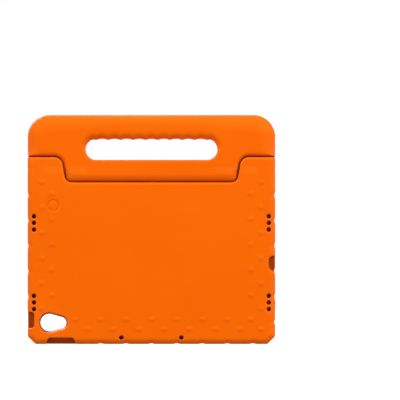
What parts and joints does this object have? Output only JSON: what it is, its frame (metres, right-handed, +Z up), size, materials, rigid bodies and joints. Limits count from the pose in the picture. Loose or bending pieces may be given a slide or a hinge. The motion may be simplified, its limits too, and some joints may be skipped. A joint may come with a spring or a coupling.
{
  "type": "tablet case",
  "caption": "Moulded foam tablet case with a wide carry handle that folds back as a stand, open screen window, camera window and edge notches.",
  "frame": {"origin": "bottom centre of the bounding box, on the surface that the case stands on", "axes": "+Z up towards the raised handle, -Y out of the screen window, +Y out of the camera side, +X to the right as seen from the screen side"},
  "size_m": [0.2748, 0.025, 0.2542],
  "materials": {
    "orange_foam": "soft matte moulded EVA foam skin",
    "nylon": "natural nylon, satin",
    "anchor_plastic": "black ABS, fine satin",
    "steel": "ground steel dowel",
    "ring_rubber": "black nitrile rubber"
  },
  "bodies": {
    "case_body": {"foam_body": "orange_foam", "ear_bush_left": "nylon", "ear_bush_right": "nylon", "friction_ring_left": "ring_rubber", "friction_ring_right": "ring_rubber"},
    "handle": {"foam_handle": "orange_foam", "handle_anchor_left": "anchor_plastic", "handle_anchor_right": "anchor_plastic", "hinge_pin_left": "steel", "hinge_pin_right": "steel"}
  },
  "joints": [
    {"name": "handle_fold", "type": "hinge", "parent": "case_body", "child": "handle", "pos_m": [0, 0.0068, 0.1932], "axis": [-1, 0, 0], "range_deg": [0, 110]}
  ]
}
